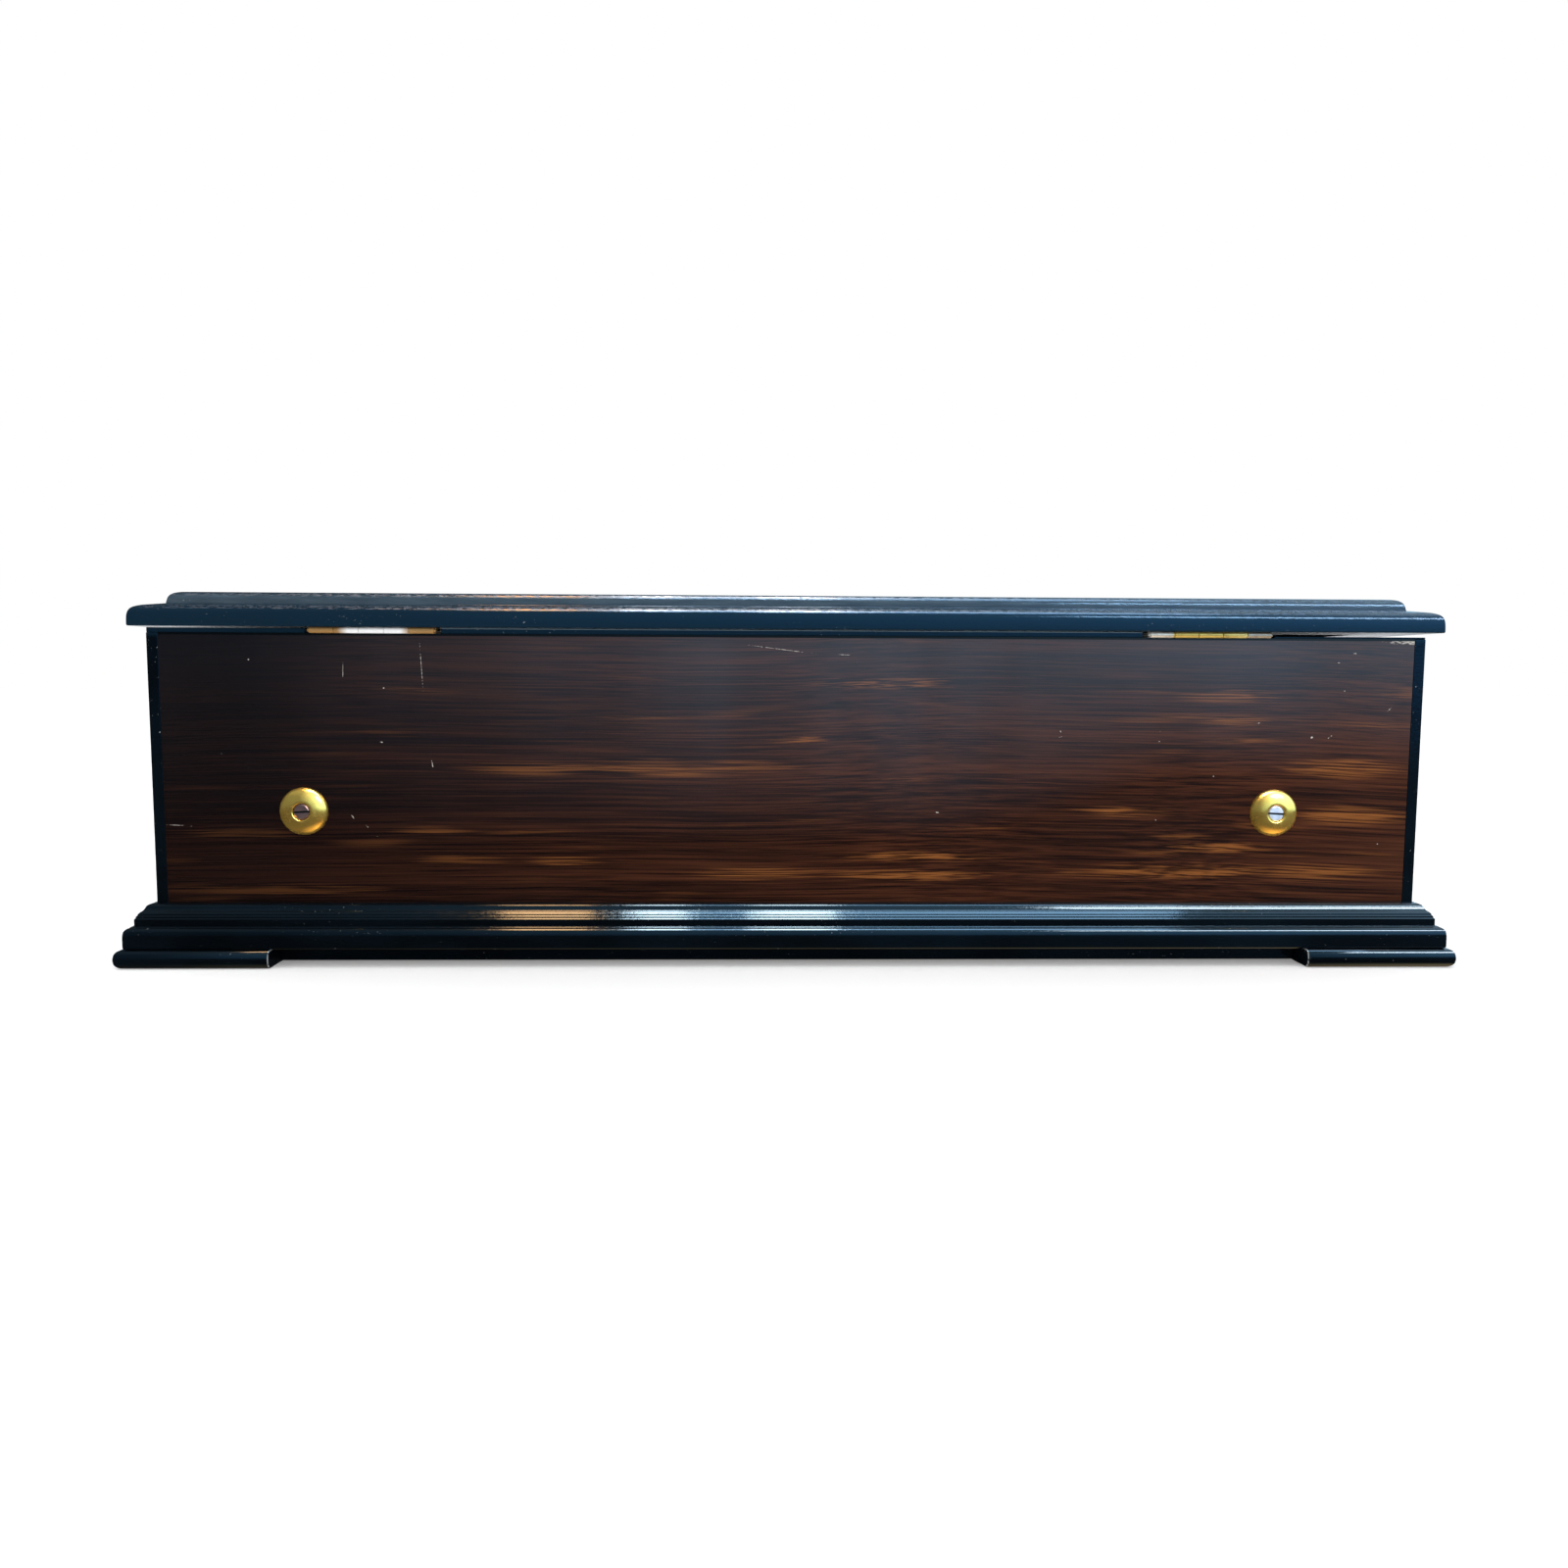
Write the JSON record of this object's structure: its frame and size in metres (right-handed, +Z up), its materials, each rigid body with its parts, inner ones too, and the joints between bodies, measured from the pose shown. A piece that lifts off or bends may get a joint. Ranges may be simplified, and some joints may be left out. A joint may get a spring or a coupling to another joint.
{
  "type": "music box",
  "caption": "Table music box in a veneered case with black mouldings: hinged lid, glass inner lid, lever-wound spring barrel, pinned cylinder, steel comb and governor.",
  "frame": {"origin": "middle of the footprint, on the surface the feet stand on", "axes": "+X along the case towards the control levers, +Y towards the hinged back, +Z up"},
  "size_m": [0.7, 0.282, 0.195],
  "materials": {
    "veneer": "dark rosewood veneer, French polished, fine horizontal grain",
    "ebonised": "black-stained hardwood moulding, glossy polish",
    "casework": "plain fruitwood, thin varnish",
    "brass": "turned and polished brass, slightly mellowed",
    "gilded_bed": "lacquered brass with a fine straight grain",
    "steel": "polished steel",
    "glass": "clear drawn window glass"
  },
  "bodies": {
    "case": {"bottom_board": "casework", "front_panel": "veneer", "back_panel": "veneer", "left_end_panel": "veneer", "right_end_panel": "veneer", "corner_strip_front_left": "ebonised", "foot_front_left": "ebonised", "cup_washer_front_left": "brass", "case_screw_front_left": "steel", "corner_strip_front_right": "ebonised", "foot_front_right": "ebonised", "cup_washer_front_right": "brass", "case_screw_front_right": "steel", "corner_strip_back_left": "ebonised", "foot_back_left": "ebonised", "cup_washer_back_left": "brass", "case_screw_back_left": "steel", "corner_strip_back_right": "ebonised", "foot_back_right": "ebonised", "cup_washer_back_right": "brass", "case_screw_back_right": "steel", "base_moulding_front": "ebonised", "base_moulding_back": "ebonised", "base_moulding_left": "ebonised", "base_moulding_right": "ebonised", "left_partition": "casework", "right_partition": "casework", "lower_hinge_leaf_left": "brass", "lower_hinge_leaf_right": "brass", "lock_case": "brass", "keyhole_escutcheon": "brass", "bedplate": "gilded_bed", "barrel_bracket": "brass", "middle_bracket": "brass", "cylinder_bracket": "brass", "comb": "steel", "comb_base": "brass", "governor_frame": "brass"},
    "lid": {"lid_panel": "veneer", "lid_moulding_front": "ebonised", "lid_moulding_back": "ebonised", "lid_moulding_left": "ebonised", "lid_moulding_right": "ebonised", "upper_hinge_leaf_left": "brass", "upper_hinge_leaf_right": "brass", "lock_link_plate": "brass"},
    "glass_lid": {"glass_frame": "ebonised", "glass_pane": "glass"},
    "lock_bolt": {"lock_bolt": "steel"},
    "winding_lever": {"winding_lever": "steel"},
    "winding_arbor": {"winding_arbor": "steel"},
    "click": {"click": "steel"},
    "spring_barrel": {"spring_barrel": "brass"},
    "cylinder": {"cylinder": "gilded_bed", "cylinder_arbor": "steel"},
    "governor_wheel": {"governor_wheel": "brass"},
    "worm_wheel": {"worm_wheel": "brass"},
    "endless_screw": {"endless_screw": "steel"},
    "start_lever": {"start_lever": "brass"},
    "change_lever": {"change_lever": "brass"}
  },
  "joints": [
    {"name": "lid_hinge", "type": "hinge", "parent": "case", "child": "lid", "pos_m": [0, 0.1272, 0.1745], "axis": [-1, 0, 0], "range_deg": [0, 100]},
    {"name": "glass_lid_hinge", "type": "hinge", "parent": "case", "child": "glass_lid", "pos_m": [-0.018, 0.11, 0.171], "axis": [-1, 0, 0], "range_deg": [0, 85]},
    {"name": "lock_bolt_slide", "type": "slide", "parent": "case", "child": "lock_bolt", "axis": [1, 0, 0], "range_m": [0, 0.005]},
    {"name": "winding_lever_swing", "type": "hinge", "parent": "case", "child": "winding_lever", "pos_m": [-0.29, 0.04923, 0.112], "axis": [-1, 0, 0], "range_deg": [0, 60]},
    {"name": "winding_arbor_turn", "type": "hinge", "parent": "case", "child": "winding_arbor", "pos_m": [-0.236, 0.04923, 0.112], "axis": [1, 0, 0], "continuous": true},
    {"name": "click_lift", "type": "hinge", "parent": "case", "child": "click", "pos_m": [-0.2675, 0.06923, 0.134], "axis": [-1, 0, 0], "range_deg": [0, 20]},
    {"name": "cylinder_turn", "type": "hinge", "parent": "case", "child": "cylinder", "pos_m": [0, 0.008, 0.12], "axis": [1, 0, 0], "continuous": true},
    {"name": "barrel_turn", "type": "hinge", "parent": "case", "child": "spring_barrel", "pos_m": [-0.223, 0.04923, 0.112], "axis": [1, 0, 0], "continuous": true},
    {"name": "governor_wheel_turn", "type": "hinge", "parent": "case", "child": "governor_wheel", "pos_m": [0.194, 0.0376, 0.10923], "axis": [1, 0, 0], "continuous": true},
    {"name": "worm_wheel_turn", "type": "hinge", "parent": "case", "child": "worm_wheel", "pos_m": [0.2073, 0.04906, 0.11457], "axis": [1, 0, 0], "continuous": true},
    {"name": "endless_screw_turn", "type": "hinge", "parent": "case", "child": "endless_screw", "pos_m": [0.2073, 0.05661, 0.11457], "axis": [0, 0, 1], "continuous": true},
    {"name": "start_lever_swing", "type": "hinge", "parent": "case", "child": "start_lever", "pos_m": [0.2485, -0.048, 0.104], "axis": [-1, 0, 0], "range_deg": [0, 24]},
    {"name": "change_lever_swing", "type": "hinge", "parent": "case", "child": "change_lever", "pos_m": [0.2485, 0.012, 0.104], "axis": [-1, 0, 0], "range_deg": [0, 24]}
  ],
  "couplings": [
    {"joint": "glass_lid_hinge", "follows": "lid_hinge", "ratio": 0.85},
    {"joint": "barrel_turn", "follows": "cylinder_turn", "ratio": -0.25},
    {"joint": "governor_wheel_turn", "follows": "cylinder_turn", "ratio": -6},
    {"joint": "worm_wheel_turn", "follows": "cylinder_turn", "ratio": 21.6},
    {"joint": "endless_screw_turn", "follows": "cylinder_turn", "ratio": -432}
  ]
}
